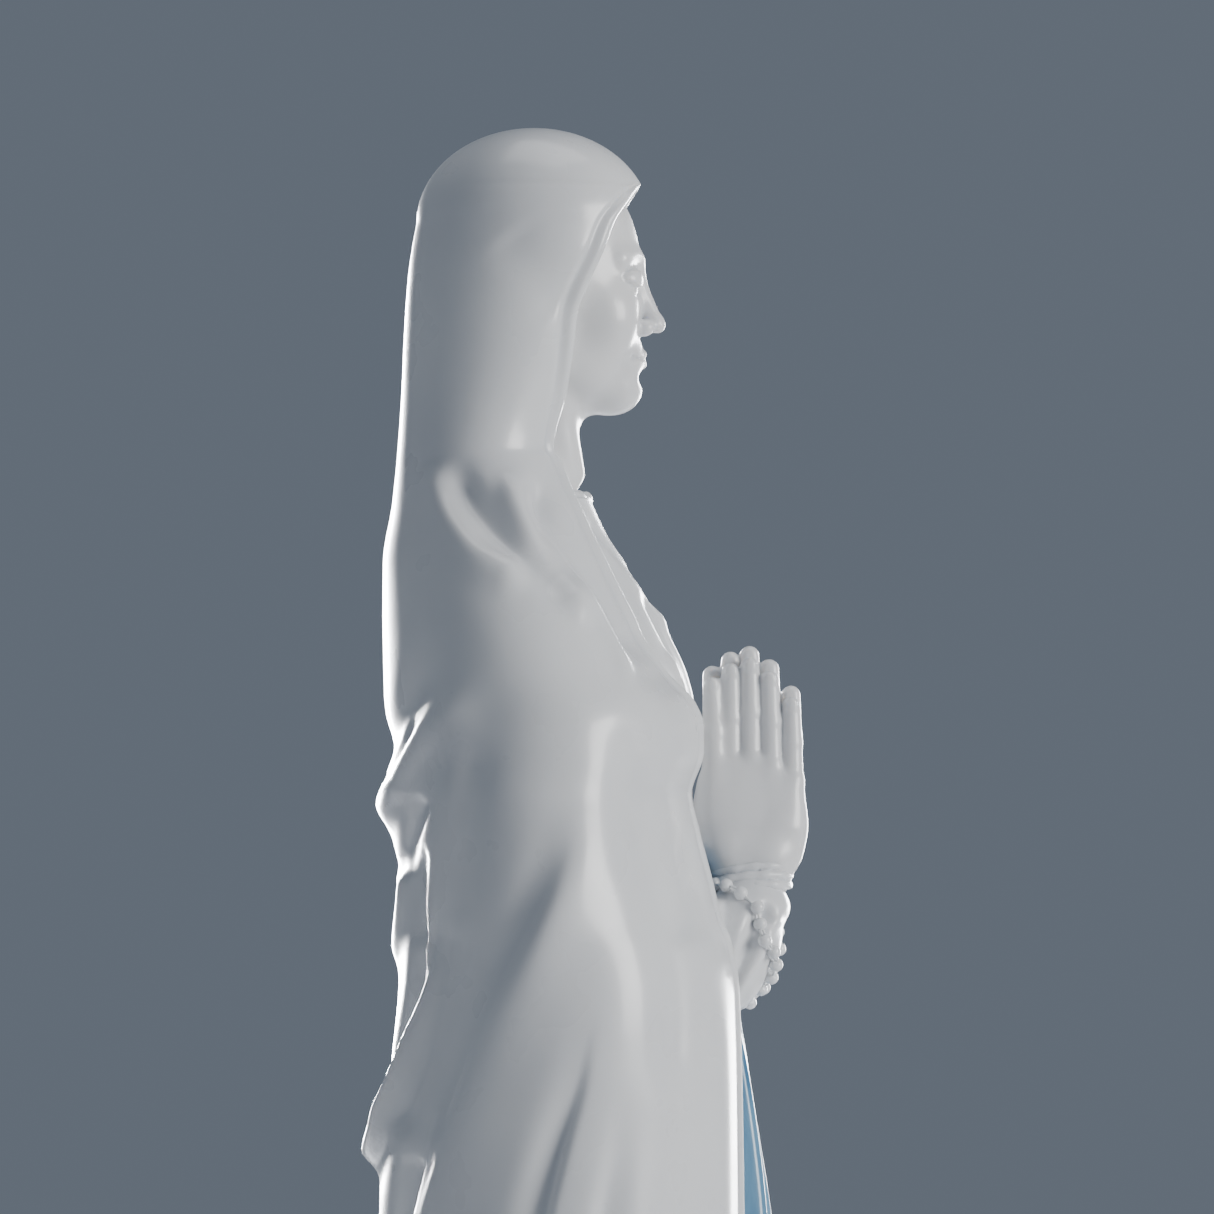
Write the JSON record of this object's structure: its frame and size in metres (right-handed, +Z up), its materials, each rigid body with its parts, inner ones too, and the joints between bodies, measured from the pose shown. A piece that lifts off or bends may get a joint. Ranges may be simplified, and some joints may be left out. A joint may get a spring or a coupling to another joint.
{
  "type": "madonna statue",
  "caption": "White glazed porcelain figure of a veiled, praying woman with a blue sash and moulded rosary, on a rock base.",
  "frame": {"origin": "centre of the base's underside, on the surface that the statue stands on", "axes": "+Z up along the figure, the figure faces -Y, its right hand is on the -X side"},
  "size_m": [0.1848, 0.1768, 0.6],
  "materials": {
    "white_glaze": "glossy white glaze",
    "blue_glaze": "glossy mid-blue glaze, paler on raised folds",
    "rosary_glaze": "glossy white glaze",
    "rose_glaze": "glossy pale yellow glaze",
    "rock_glaze": "glossy grey-white glaze"
  },
  "bodies": {
    "root": {"base_rock": "rock_glaze", "head": "white_glaze", "gown": "white_glaze", "gown_collar": "white_glaze", "mantle": "white_glaze", "hand_right": "white_glaze", "hand_left": "white_glaze", "cuff_right": "white_glaze", "cuff_left": "white_glaze", "sleeve_right": "white_glaze", "sleeve_left": "white_glaze", "foot_right": "white_glaze", "foot_left": "white_glaze", "sash_band": "blue_glaze", "sash_knot": "blue_glaze", "sash_tail_right": "blue_glaze", "sash_tail_left": "blue_glaze", "rosary_beads": "rosary_glaze", "rosary_links": "rosary_glaze", "rosary_medal": "rosary_glaze", "rosary_crucifix": "rosary_glaze", "rose_right": "rose_glaze", "rose_left": "rose_glaze"}
  },
  "joints": []
}
